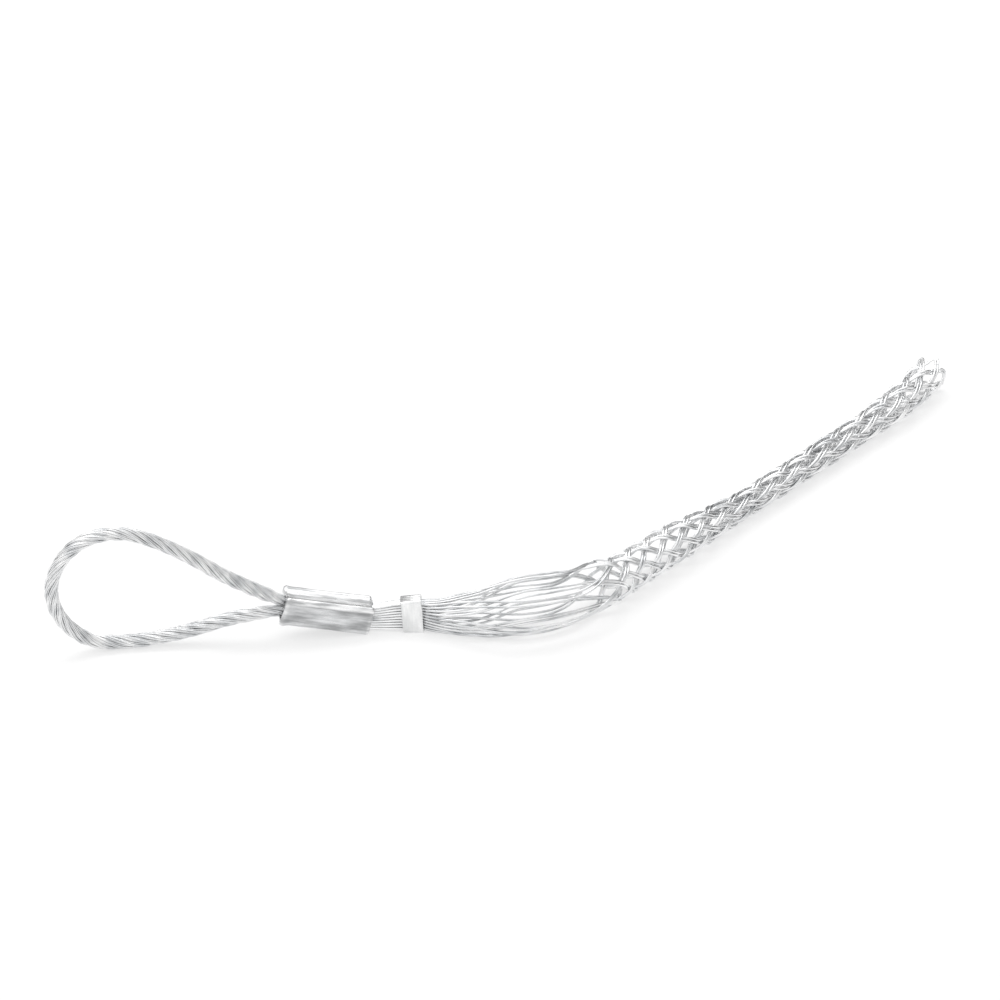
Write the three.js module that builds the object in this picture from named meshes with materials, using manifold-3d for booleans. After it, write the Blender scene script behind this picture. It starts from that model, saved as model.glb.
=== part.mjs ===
// Open braided wire grip with a swaged rope eye, lying on a table. Millimetres, +Z up.
// The braid runs along the table, the eye stands on edge, and the ferrule joins the two.
import * as THREE from 'three';
import { mergeVertices, toCreasedNormals } from 'three/addons/utils/BufferGeometryUtils.js';
import Module from 'manifold-3d';

const wasm = await Module();
wasm.setup();

// Driving dimensions
const ropeDiameter = 5;
const ropeTurns = 6.3;
const ropeStrands = 6;
const pressedRope = 0.83;
const eyeLength = 79;
const eyeHeight = 46;
const ferruleLength = 30.6;
const ferruleWidth = 10;
const ferruleHeight = 10.5;
const ferruleLift = 6.9;
const channelDepth = 0.55;
const pocketDepth = 13;
const wireDiameter = 0.9;
const wireGap = 0.22;
const fit = 0.3;
const pairsPerHand = 6;
const crossings = 30;
const waveHeight = 0.95;
const bandWidth = 8;
const bandThickness = 0.45;
const bandSpacing = 10.5;
const bandLean = 0.09;
const fanLength = 59.2;
const fanShift = 13.6;
const bagRadius = 10.6;
const braidLength = 184;
const collarRadius = 8;
const startRadius = 6.2;
const waistRadius = 3.85;
const mouthRadius = 5;
const eyeYaw = 8.5;
const braidTurn = 50;

// Derived sizes
const wireSide = wireDiameter * Math.sqrt(Math.PI) / 2;
const wirePitch = wireSide + wireGap;
const slotsDeep = 4;
const slotsHigh = 10;
const tightPitch = wireSide + 0.1;
const bandPitch = wirePitch + 0.06;
const levelStep = 180 / pairsPerHand;
const pairStep = 360 / pairsPerHand;
const tipTurn = levelStep / 2 + levelStep * crossings;

const rad = THREE.MathUtils.degToRad;
const lerp = THREE.MathUtils.lerp;
const smooth = (x) => THREE.MathUtils.smoothstep(x, 0, 1);
const vec = (x, y, z) => new THREE.Vector3(x, y, z);

// Finishes: drawn galvanised wire, bright rope strand, pressed zinc-plated sleeve, steel strip
const wireFinish = new THREE.MeshStandardMaterial({ color: 0xc3c6c9, roughness: 0.38, metalness: 0.9 });
const ropeFinish = new THREE.MeshStandardMaterial({ color: 0xb4b7ba, roughness: 0.42, metalness: 0.9 });
const coreFinish = new THREE.MeshStandardMaterial({ color: 0x9da0a3, roughness: 0.5, metalness: 0.9 });
const sleeveFinish = new THREE.MeshStandardMaterial({ color: 0xbfc1c3, roughness: 0.34, metalness: 0.9 });
const bandFinish = new THREE.MeshStandardMaterial({ color: 0xd5d7d9, roughness: 0.3, metalness: 0.85 });

// A value read off a list of [position, value] pairs, eased between neighbours
function eased(list, at) {
  let i = 0;
  while (i < list.length - 2 && at > list[i + 1][0]) i += 1;
  const [from, to] = [list[i], list[i + 1]];
  return lerp(from[1], to[1], smooth((at - from[0]) / (to[0] - from[0])));
}

// A closed solid through rings of points, all rings with the same number of corners
function skin(rings) {
  const corners = rings[0].length;
  const positions = [];
  const index = [];
  for (const ring of rings) {
    for (const p of ring) positions.push(p.x, p.y, p.z);
  }
  for (let r = 0; r < rings.length - 1; r += 1) {
    for (let c = 0; c < corners; c += 1) {
      const a = r * corners + c;
      const b = r * corners + (c + 1) % corners;
      index.push(a, b, b + corners, a, b + corners, a + corners);
    }
  }
  const last = (rings.length - 1) * corners;
  const middle = positions.length / 3;
  for (const ring of [rings[0], rings[rings.length - 1]]) {
    const centre = ring.reduce((sum, p) => sum.add(p), vec(0, 0, 0)).divideScalar(corners);
    positions.push(centre.x, centre.y, centre.z);
  }
  for (let c = 0; c < corners; c += 1) {
    const next = (c + 1) % corners;
    index.push(middle, next, c);
    index.push(middle + 1, last + c, last + next);
  }
  const geometry = new THREE.BufferGeometry();
  geometry.setAttribute('position', new THREE.Float32BufferAttribute(positions, 3));
  geometry.setIndex(index);
  return geometry;
}

// A swept bar: the section's corners are [outward, sideways] offsets about each path point
function sweep(path, sectionAt) {
  const rings = path.map((point, i) => {
    const before = path[Math.max(i - 1, 0)].at;
    const after = path[Math.min(i + 1, path.length - 1)].at;
    const along = after.clone().sub(before).normalize();
    const out = point.out.clone().addScaledVector(along, -point.out.dot(along)).normalize();
    const side = along.clone().cross(out);
    return sectionAt(i).map(([o, s]) => point.at.clone().addScaledVector(out, o).addScaledVector(side, s));
  });
  return skin(rings);
}

function toSolid(geometry) {
  const clean = geometry.clone();
  clean.deleteAttribute('normal');
  clean.deleteAttribute('uv');
  const merged = mergeVertices(clean, 1e-4);
  const vertProperties = new Float32Array(merged.attributes.position.array);
  const triVerts = new Uint32Array(merged.index.array);
  return new wasm.Manifold(new wasm.Mesh({ numProp: 3, vertProperties, triVerts }));
}

function fromSolid(solid) {
  const mesh = solid.getMesh();
  const geometry = new THREE.BufferGeometry();
  geometry.setAttribute('position', new THREE.Float32BufferAttribute(mesh.vertProperties, 3));
  geometry.setIndex(new THREE.BufferAttribute(new Uint32Array(mesh.triVerts), 1));
  return geometry;
}

function named(name, geometry, material, crease) {
  const finished = crease ? toCreasedNormals(geometry, rad(crease)) : geometry;
  if (!crease) finished.computeVertexNormals();
  const mesh = new THREE.Mesh(finished, material);
  mesh.name = name;
  return mesh;
}

// Ferrule frame: x along the sleeve towards the braid, y to the back, z up across the sleeve
const slope = Math.asin(ferruleLift / ferruleLength);
const yaw = rad(eyeYaw);
const sleeveAlong = vec(Math.cos(slope) * Math.cos(yaw), Math.cos(slope) * Math.sin(yaw), -Math.sin(slope));
const sleeveBack = vec(-Math.sin(yaw), Math.cos(yaw), 0);
const sleeveUp = sleeveAlong.clone().cross(sleeveBack);
const sleeveEnd = vec(0, 0, ferruleHeight / 2 * Math.cos(slope));
const sleeveMouth = sleeveEnd.clone().addScaledVector(sleeveAlong, -ferruleLength);

function onSleeve(x, y, z) {
  return sleeveMouth.clone().addScaledVector(sleeveAlong, x).addScaledVector(sleeveBack, y).addScaledVector(sleeveUp, z);
}

// Rope eye: a loop that stands on edge in the plane of the sleeve, read as shares of its size
const eyeShape = [
  [0.25, 0.553], [0.4, 0.74], [0.545, 0.895], [0.67, 0.985], [0.775, 0.995], [0.875, 0.935],
  [0.955, 0.8], [0.997, 0.6], [0.985, 0.4], [0.925, 0.22], [0.83, 0.095], [0.715, 0.055],
  [0.59, 0.06], [0.47, 0.085], [0.355, 0.125], [0.235, 0.178],
];

function eyePoint(along, height) {
  const inPlane = vec(-Math.cos(yaw), -Math.sin(yaw), 0);
  const point = vec(sleeveMouth.x, sleeveMouth.y, 0).addScaledVector(inPlane, along * eyeLength);
  point.z = height * eyeHeight;
  return point;
}

function ropeCurve() {
  const leg = ropeDiameter * pressedRope / 2 + 0.06;
  const points = [onSleeve(pocketDepth - fit, 0, leg), onSleeve(5, 0, leg), onSleeve(-1, 0, leg + 0.1)];
  for (const [along, height] of eyeShape) points.push(eyePoint(along, height));
  points.push(onSleeve(-1, 0, -leg - 0.1), onSleeve(5, 0, -leg), onSleeve(pocketDepth - fit, 0, -leg));
  const curve = new THREE.CatmullRomCurve3(points, false, 'centripetal');
  curve.arcLengthDivisions = 900;
  return curve;
}

// How far the rope is pressed down at a distance from its nearer end
function pressAt(distance) {
  return lerp(pressedRope, 1, smooth((distance - pocketDepth - 1) / 7));
}

function ropeFrames(steps) {
  const curve = ropeCurve();
  const length = curve.getLength();
  const frames = [];
  for (let i = 0; i <= steps; i += 1) {
    const u = i / steps;
    const along = curve.getTangentAt(u);
    const distance = u * length;
    // Right-hand lay
    const turn = -2 * Math.PI * ropeTurns * u;
    const press = pressAt(Math.min(distance, length - distance));
    frames.push({ at: curve.getPointAt(u), out: along.clone().cross(sleeveBack), across: sleeveBack, turn, press });
  }
  return frames;
}

// One outer strand: a twisted bar that is round on the outside and narrow towards the core
function ropeStrand(number, frames) {
  const ring = ropeDiameter / 3;
  const half = ropeDiameter / 6;
  const section = [[half, 0], [half * 0.4, half * 0.84], [-half * 0.72, half * 0.42],
    [-half * 0.72, -half * 0.42], [half * 0.4, -half * 0.84]];
  const path = frames.map((frame) => {
    const angle = frame.turn + 2 * Math.PI * number / ropeStrands;
    const out = frame.out.clone().multiplyScalar(Math.cos(angle)).addScaledVector(frame.across, Math.sin(angle));
    return { at: frame.at.clone().addScaledVector(out, ring * frame.press), out };
  });
  return sweep(path, (i) => section.map(([o, s]) => [o * frames[i].press, s * frames[i].press]));
}

function ropeCore(frames) {
  const radius = ropeDiameter * 0.15;
  const corners = [0, 120, 240].map((turn) => [radius * Math.cos(rad(turn)), radius * Math.sin(rad(turn))]);
  return sweep(frames, (i) => corners.map(([o, s]) => [o * frames[i].press, s * frames[i].press]));
}

// Pressed sleeve: a ridge at each corner and a shallow flat channel on each side
function sleeveOutline(grow) {
  const a = ferruleWidth / 2;
  const b = ferruleHeight / 2;
  const c = channelDepth;
  const quarter = [[a - c, b * 0.52], [a, b * 0.68], [a, b * 0.86], [a * 0.86, b], [a * 0.68, b], [a * 0.5, b - c]];
  const mirrored = quarter.map(([y, z]) => [-y, z]).reverse();
  const upper = quarter.concat(mirrored);
  const lower = upper.map(([y, z]) => [-y, -z]);
  return upper.concat(lower).map(([y, z]) => [y * grow, z * grow]);
}

function pocket(from, to, wide, high, corner) {
  const outline = [[wide / 2, high / 2 - corner], [wide / 2 - corner, high / 2]];
  const upper = outline.concat(outline.map(([y, z]) => [-y, z]).reverse());
  const ring = upper.concat(upper.map(([y, z]) => [-y, -z]));
  return skin([from, to].map((x) => ring.map(([y, z]) => vec(x, y, z))));
}

function sleeve() {
  const stations = [[0, 0.965], [0.7, 1.03], [2.4, 1], [ferruleLength - 1.7, 1], [ferruleLength - 0.8, 1.015],
    [ferruleLength, 0.975]];
  const body = skin(stations.map(([x, grow]) => sleeveOutline(grow).map(([y, z]) => vec(x, y, z))));
  const ropeRoom = ropeDiameter * pressedRope + 2 * fit;
  const ropeHole = pocket(-1, pocketDepth, ropeRoom, ropeRoom + ropeDiameter * pressedRope + 0.12, 1);
  const bundleWide = (slotsDeep - 1) * wirePitch + wireSide + 2 * 0.2;
  const bundleHigh = (slotsHigh - 1) * tightPitch + wireSide + 2 * 0.2;
  const wireHole = pocket(ferruleLength - pocketDepth, ferruleLength + 1, bundleWide, bundleHigh, 0.15);
  const solid = toSolid(body).subtract(toSolid(ropeHole)).subtract(toSolid(wireHole));
  const geometry = fromSolid(solid);
  const frame = new THREE.Matrix4().makeBasis(sleeveAlong, sleeveBack, sleeveUp).setPosition(sleeveMouth);
  geometry.applyMatrix4(frame);
  return geometry;
}

// Wire bundle: slots round the rim of a small grid, counted from the top over the front
function slotOffset(slot, pitchHigh) {
  const deep = slotsDeep;
  const high = slotsHigh;
  const rim = [];
  for (let i = deep / 2; i < deep; i += 1) rim.push([i, 0]);
  for (let j = 1; j < high; j += 1) rim.push([deep - 1, j]);
  for (let i = deep - 2; i >= 0; i -= 1) rim.push([i, high - 1]);
  for (let j = high - 2; j >= 0; j -= 1) rim.push([0, j]);
  for (let i = 1; i < deep / 2; i += 1) rim.push([i, 0]);
  const [i, j] = rim[slot];
  return { front: (i - (deep - 1) / 2) * wirePitch, up: ((high - 1) / 2 - j) * pitchHigh };
}

// Band centre, straight ahead of the sleeve, and the start of the braid
const bandFront = vec(Math.cos(rad(-4)), Math.sin(rad(-4)), 0);
const bandHalfHeight = ((slotsHigh - 1) * bandPitch + wireSide) / 2 + fit + bandThickness;
const bandStart = sleeveEnd.clone().addScaledVector(bandFront, bandSpacing).setZ(bandHalfHeight + 0.1);
const bandEnd = bandStart.clone().add(vec(bandWidth, 0, 0));

function braidRadius(f) {
  return eased([[0, collarRadius], [0.07, startRadius], [0.18, startRadius * 0.97], [0.44, waistRadius],
    [0.72, waistRadius], [0.91, lerp(waistRadius, mouthRadius, 0.75)], [1, mouthRadius]], f);
}

function braidHeading(f) {
  return braidTurn + eased([[0, 0], [0.2, -0.5], [0.8, 0.5], [1, 13]], f);
}

function braidPlan() {
  const start = bandEnd.clone().add(vec(fanLength, fanShift, 0));
  const stations = [start];
  const count = Math.round(braidLength);
  const step = braidLength / count;
  for (let i = 0; i < count + 12; i += 1) {
    const heading = rad(braidHeading(Math.min((i + 0.5) / count, 1)));
    stations.push(stations[i].clone().add(vec(Math.cos(heading) * step, Math.sin(heading) * step, 0)));
  }
  return stations;
}
const plan = braidPlan();

function braidCentre(s) {
  const at = Math.min(Math.max(s / braidLength * Math.round(braidLength), 0), plan.length - 1.001);
  const i = Math.floor(at);
  const centre = plan[i].clone().lerp(plan[i + 1], at - i);
  centre.z = braidRadius(Math.min(s / braidLength, 1)) + waveHeight + wireSide / 2;
  return centre;
}

// Turn of the wires round the braid against distance along it, scaled to end at the mouth
function turnTable() {
  const lay = [[0, 1], [0.025, 0.5], [0.08, 0.62], [0.16, 0.76], [0.3, 0.95], [0.48, 1.2], [0.7, 1.3], [0.86, 1.1],
    [1, 0.95]];
  const table = [0];
  for (let d = 1; d <= tipTurn + levelStep; d += 1) table.push(table[d - 1] + eased(lay, Math.min(d / tipTurn, 1)));
  const scale = braidLength / table[tipTurn];
  return table.map((s) => s * scale);
}
const turns = turnTable();

function stationAt(turn) {
  const i = Math.floor(turn);
  return lerp(turns[i], turns[i + 1], turn - i);
}

function layAt(turn) {
  return (stationAt(turn + 1) - stationAt(turn - 1)) / 2 * 360;
}

// Half the angle between the two wires of a pair
function pairAngle(radius, lay) {
  const lean = Math.atan2(2 * Math.PI * radius, lay);
  return THREE.MathUtils.radToDeg((wirePitch - 0.02) / 2 / radius / Math.cos(lean));
}

function ringPoint(centre, heading, radius, theta) {
  const front = vec(Math.sin(rad(heading)), -Math.cos(rad(heading)), 0);
  const out = vec(0, 0, Math.cos(rad(theta))).addScaledVector(front, Math.sin(rad(theta)));
  return { at: centre.clone().addScaledVector(out, radius), out };
}

// From the sleeve through the band, four wires deep and ten high
function bundlePath(slot) {
  const inSleeve = slotOffset(slot, tightPitch);
  const inBand = slotOffset(slot, bandPitch);
  const place = (at, offset, front, up) => {
    const point = at.clone().addScaledVector(front, offset.front).addScaledVector(up, offset.up);
    const out = front.clone().multiplyScalar(Math.sign(offset.front));
    return { at: point, out };
  };
  const sleeveFront = sleeveBack.clone().negate();
  const deep = sleeveMouth.clone().addScaledVector(sleeveAlong, ferruleLength - pocketDepth + fit);
  const exit = sleeveMouth.clone().addScaledVector(sleeveAlong, ferruleLength + 0.5);
  const front = vec(0, -1, 0);
  const up = vec(0, 0, 1);
  return [place(deep, inSleeve, sleeveFront, sleeveUp), place(exit, inSleeve, sleeveFront, sleeveUp),
    place(bandStart.clone().add(vec(-1, 0, 0)), inBand, front, up), place(bandEnd, inBand, front, up)];
}

// From the band to the braid: the wires bulge into an open bag, in pairs
function fanPath(slot, theta, side) {
  const inBand = slotOffset(slot, bandPitch);
  const goal = braidCentre(0);
  const endHeading = braidHeading(0);
  const reach = goal.clone().sub(bandEnd).length();
  const axis = new THREE.CubicBezierCurve3(bandEnd, bandEnd.clone().add(vec(reach * 0.4, -reach * 0.11, 0)),
    goal.clone().sub(vec(Math.cos(rad(endHeading)), Math.sin(rad(endHeading)), 0).multiplyScalar(reach * 0.34)), goal);
  const path = [];
  const steps = 8;
  for (let i = 1; i <= steps; i += 1) {
    const t = i / steps;
    const radius = eased([[0, bagRadius * 0.52], [0.35, bagRadius * 0.9], [0.55, bagRadius], [1, collarRadius]], t);
    const centre = axis.getPoint(t);
    const tangent = axis.getTangent(t);
    const heading = THREE.MathUtils.radToDeg(Math.atan2(tangent.y, tangent.x));
    const lift = wireSide / 2 + waveHeight * smooth((t - 0.6) / 0.4) + 0.05;
    centre.z = lerp(bandEnd.z, radius + lift, smooth(t / 0.36));
    const half = lerp(levelStep / 4, 1.2 * pairAngle(collarRadius, layAt(3)), smooth(t));
    const round = ringPoint(centre, heading, radius, theta + side * half);
    const open = smooth(t / 0.36);
    const front = vec(Math.sin(rad(heading)), -Math.cos(rad(heading)), 0);
    const flat = centre.clone().addScaledVector(front, inBand.front).add(vec(0, 0, inBand.up));
    const out = front.multiplyScalar(Math.sign(inBand.front)).lerp(round.out, open);
    path.push({ at: flat.lerp(round.at, open), out });
  }
  return path;
}

// A wire of the braid up to its last crossing: over at one level and under at the next
function braidPath(theta, side, hand) {
  const path = [];
  for (let level = 0; level < crossings; level += 1) {
    const middle = levelStep / 2 + levelStep * level;
    const s0 = stationAt(middle);
    const half = pairAngle(braidRadius(s0 / braidLength), layAt(middle));
    const turn = middle - side * hand * half / 2;
    const s = stationAt(turn);
    const radius = braidRadius(s / braidLength) + waveHeight * hand * (level % 2 === 0 ? 1 : -1);
    path.push(ringPoint(braidCentre(s), braidHeading(s / braidLength), radius, theta + side * half + hand * turn));
  }
  return path;
}

// Rounded end of a folded wire: it turns back at the mouth, one wire inside the other
function foldPath(theta, middle, side, hand, bend, reach) {
  const lay = layAt(tipTurn);
  const lean = Math.atan2(2 * Math.PI * mouthRadius, lay);
  const half = pairAngle(mouthRadius, lay);
  const meet = stationAt(tipTurn - side * hand * half);
  const centre = meet - bend / Math.sin(lean);
  const path = [];
  for (const share of [0, 0.55]) {
    const angle = lerp(lean, Math.PI / 2, share);
    const s = centre + bend * Math.sin(angle) + reach * share;
    const off = THREE.MathUtils.radToDeg(bend * Math.cos(angle) / mouthRadius);
    const wave = hand * (crossings % 2 === 0 ? -1 : 1) * waveHeight * (0.85 - 0.9 * share);
    path.push(ringPoint(braidCentre(s), braidHeading(1), mouthRadius + wave, middle - hand * off));
  }
  const tip = centre + bend + reach;
  return { path, tip: ringPoint(braidCentre(tip), braidHeading(1), mouthRadius + 0.7, middle) };
}

function halfWire(pair, side, hand, middle, bend, reach) {
  const theta = pairStep * pair + (hand > 0 ? 0 : pairStep / 2);
  const order = 2 * (pair * 2 + (hand > 0 ? 0 : 1)) + (side > 0 ? 0 : -1);
  const slots = 4 * pairsPerHand;
  const slot = (order + slots) % slots;
  const fold = foldPath(theta, middle, side, hand, bend, reach);
  const path = bundlePath(slot).concat(fanPath(slot, theta, side), braidPath(theta, side, hand), fold.path);
  return { path, tip: fold.tip };
}

// A whole wire: down the braid one way round, folded at the mouth, and back the other way
function foldedWire(number) {
  const pair = Math.floor(number / 2);
  const inner = number % 2 === 0;
  const partner = (pair + crossings) % pairsPerHand;
  const middle = pairStep * pair + tipTurn;
  const bend = inner ? 1.4 : 1.4 + wirePitch * 0.87;
  const reach = 0.7 * (1 + Math.cos(pair * 2.2));
  const out = halfWire(pair, inner ? 1 : -1, 1, middle, bend, reach);
  const back = halfWire(partner, inner ? -1 : 1, -1, middle, bend, reach);
  const path = out.path.concat([out.tip], back.path.reverse());
  const h = wireSide / 2;
  const section = [[h, h], [-h, h], [-h, -h], [h, -h]];
  return sweep(path, () => section);
}

// Strip bent round the bundle, its ends lapped at the back
function band() {
  const inWide = ((slotsDeep - 1) * wirePitch + wireSide) / 2 + fit;
  const inHigh = ((slotsHigh - 1) * bandPitch + wireSide) / 2 + fit;
  const r = 0.45;
  const lap = bandThickness + 0.3;
  const loop = (grow) => [[-inWide - grow, inHigh * 0.15], [-inWide - grow, inHigh - r],
    [-inWide + r * 0.5 - grow * 0.5, inHigh + grow * 0.7], [-inWide + r, inHigh + grow], [inWide - r, inHigh + grow],
    [inWide + grow, inHigh - r], [inWide + grow, -inHigh + r], [inWide - r, -inHigh - grow],
    [-inWide + r, -inHigh - grow], [-inWide - grow, -inHigh + r]];
  const inside = loop(0);
  const outside = loop(bandThickness);
  const tailIn = [[-inWide - lap, -inHigh * 0.35], [-inWide - lap, inHigh * 0.45]];
  const tailOut = [[-inWide - lap - bandThickness, -inHigh * 0.35], [-inWide - lap - bandThickness, inHigh * 0.45]];
  const outline = inside.concat(tailIn, tailOut.reverse(), outside.slice().reverse());
  const shape = new THREE.Shape(outline.map(([front, up]) => new THREE.Vector2(front, up)));
  const geometry = new THREE.ExtrudeGeometry(shape, { depth: bandWidth - 1, bevelEnabled: false });
  const place = new THREE.Matrix4().makeBasis(vec(0, -1, 0), vec(0, 0, 1), vec(-1, 0, 0));
  place.setPosition(bandEnd.clone().add(vec(-0.5, 0, 0)));
  geometry.applyMatrix4(place);
  const position = geometry.attributes.position;
  for (let i = 0; i < position.count; i += 1) {
    position.setX(i, position.getX(i) - bandLean * (position.getZ(i) - bandEnd.z));
  }
  return geometry;
}

const part = new THREE.Group();
part.name = 'cable_pulling_grip';
const frames = ropeFrames(54);
part.add(named('rope_core', ropeCore(frames), coreFinish));
for (let n = 0; n < ropeStrands; n += 1) {
  part.add(named(`rope_strand_${n + 1}`, ropeStrand(n, frames), ropeFinish));
}
part.add(named('ferrule', sleeve(), sleeveFinish, 24));
part.add(named('band', band(), bandFinish, 24));
for (let n = 0; n < 2 * pairsPerHand; n += 1) {
  part.add(named(`wire_${String(n + 1).padStart(2, '0')}`, foldedWire(n), wireFinish));
}

// The lowest point rests at zero and the middle of the outer box stands on the origin
const box = new THREE.Box3().setFromObject(part);
const middle = box.getCenter(vec(0, 0, 0));
for (const mesh of part.children) mesh.geometry.translate(-middle.x, -middle.y, -box.min.z);

export default part;
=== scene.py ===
"""Looks of an open braided wire grip: rope eye, pressed sleeve, strip band and a braid of double wires.

Lengths are in millimetres until a mesh is made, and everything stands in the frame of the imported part.
"""

import logging
import math
from collections.abc import Callable
from dataclasses import dataclass, field
from enum import Enum

import bpy
import numpy as np
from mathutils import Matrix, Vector

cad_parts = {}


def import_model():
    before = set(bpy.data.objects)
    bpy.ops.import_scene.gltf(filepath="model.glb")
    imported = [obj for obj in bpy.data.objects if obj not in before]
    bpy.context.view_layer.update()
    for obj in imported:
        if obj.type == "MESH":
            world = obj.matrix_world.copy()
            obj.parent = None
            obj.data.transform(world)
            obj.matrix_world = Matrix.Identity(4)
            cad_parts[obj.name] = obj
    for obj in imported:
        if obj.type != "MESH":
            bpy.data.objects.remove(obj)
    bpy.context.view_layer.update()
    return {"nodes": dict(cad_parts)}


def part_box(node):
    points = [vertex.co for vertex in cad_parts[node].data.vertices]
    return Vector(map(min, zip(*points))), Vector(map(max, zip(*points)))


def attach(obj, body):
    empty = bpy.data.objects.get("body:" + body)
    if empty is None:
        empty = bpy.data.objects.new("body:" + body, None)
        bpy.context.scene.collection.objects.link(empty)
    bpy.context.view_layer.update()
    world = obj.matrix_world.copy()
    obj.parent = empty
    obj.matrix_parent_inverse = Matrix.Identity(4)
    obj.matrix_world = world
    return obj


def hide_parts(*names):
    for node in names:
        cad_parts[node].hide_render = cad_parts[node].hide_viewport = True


MM = 0.001
MAP_NAME = "millimetres"
WHITE = "#FFFFFF"
LOG = logging.getLogger("grip")

Array = np.ndarray
Number = np.ndarray | float
Socket = bpy.types.NodeSocket
Tree = bpy.types.NodeTree


class Hand(Enum):
    """Which way round the braid a wire runs, looking from the eye."""

    RIGHT = 1
    LEFT = -1


class Slot(Enum):
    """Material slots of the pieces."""

    CORE = "rope_core"
    STRAND = "rope_strand"
    SLEEVE = "ferrule"
    BAND = "band"
    WIRE = "braid_wire"


# Shared curves and meshes


def smooth(x: Number) -> Number:
    """Eases from 0 to 1 between x = 0 and x = 1."""
    x = np.clip(x, 0.0, 1.0)
    return x * x * (3 - 2 * x)


def lerp(a: Number, b: Number, share: Number) -> Number:
    """Goes straight from a to b as share goes from 0 to 1."""
    return a + (b - a) * share


def eased(pairs: list[tuple[float, float]], at: Number) -> Number:
    """Reads a value off a list of (position, value) pairs, eased between neighbours.

    Args:
        pairs: positions in rising order, each with its value.
        at: the position or positions to read.

    Returns:
        The value at each position.
    """
    places, values = np.array(pairs, float).T
    i = np.clip(np.searchsorted(places, at) - 1, 0, len(places) - 2)
    share = smooth((at - places[i]) / (places[i + 1] - places[i]))
    return values[i] + (values[i + 1] - values[i]) * share


def unit(rows: Array) -> Array:
    """Scales each row to length 1."""
    return rows / np.linalg.norm(rows, axis=-1, keepdims=True)


def tangents(path: Array) -> Array:
    """Gives the direction of a path at each of its points."""
    return unit(np.gradient(path, axis=0))


def run_length(path: Array) -> Array:
    """Gives the distance along a path to each of its points."""
    steps = np.linalg.norm(np.diff(path, axis=0), axis=1)
    return np.concatenate([[0.0], np.cumsum(steps)])



def turned(first: Array, second: Array, angle: Number) -> Array:
    """Turns from a first direction towards a second by an angle in radians."""
    return first * np.cos(angle)[..., None] + second * np.sin(angle)[..., None]


def front_of(heading: Number) -> Array:
    """Gives the level direction to the front of a heading in degrees."""
    angle = np.radians(heading)
    return np.stack([np.sin(angle), -np.cos(angle), 0 * angle], axis=-1)


def girth(outline: Array) -> Array:
    """Gives the distance round a closed outline to each of its points, and to the first again."""
    return run_length(np.concatenate([outline, outline[:1]]))

def spread_evenly(path: Array, count: int) -> Array:
    """Puts a number of points at equal distances along a path."""
    along = run_length(path)
    return np.stack([np.interp(np.linspace(0, along[-1], count), along, line) for line in path.T], axis=1)


def centripetal(points: Array, steps: int = 40) -> Array:
    """Runs a smooth curve through points.

    Args:
        points: the points, in order.
        steps: points on the curve for each stretch between two of them.

    Returns:
        The points of the curve.
    """
    ends = [2 * points[0] - points[1], *points, 2 * points[-1] - points[-2]]
    share = np.linspace(0, 1, steps, endpoint=False)[:, None]
    curve = []
    for p0, p1, p2, p3 in zip(ends, ends[1:], ends[2:], ends[3:]):
        d0, d1, d2 = (math.sqrt(np.linalg.norm(b - a)) for a, b in ((p0, p1), (p1, p2), (p2, p3)))
        leave = ((p1 - p0) / d0 - (p2 - p0) / (d0 + d1) + (p2 - p1) / d1) * d1
        arrive = ((p2 - p1) / d1 - (p3 - p1) / (d1 + d2) + (p3 - p2) / d2) * d1
        square = -3 * p1 + 3 * p2 - 2 * leave - arrive
        cube = 2 * p1 - 2 * p2 + leave + arrive
        curve.append(p1 + leave * share + square * share**2 + cube * share**3)
    return np.concatenate([*curve, [points[-1]]])


def relaxed(path: Array, weights: Array, rounds: int) -> Array:
    """Takes the corners out of a path where the weights say so, as a springy wire does.

    Args:
        path: the points of the path.
        weights: 0 where a point is held, up to 1 where it is free.
        rounds: how many times each point moves towards its neighbours.

    Returns:
        The eased path.
    """
    path = path.copy()
    pull = 0.5 * weights[1:-1, None]
    for _ in range(rounds):
        path[1:-1] += pull * ((path[:-2] + path[2:]) / 2 - path[1:-1])
    return path


def carried_normals(path: Array) -> Array:
    """Carries one normal along a path without twisting it.

    Args:
        path: the points of the path.

    Returns:
        A unit normal at each point.
    """
    along = tangents(path)
    spare = np.eye(3)[np.argmin(np.abs(along[0]))]
    normals = [unit(np.cross(along[0], spare))]
    for direction in along[1:]:
        last = normals[-1]
        normals.append(unit(last - direction * np.dot(last, direction)))
    return np.array(normals)


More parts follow.
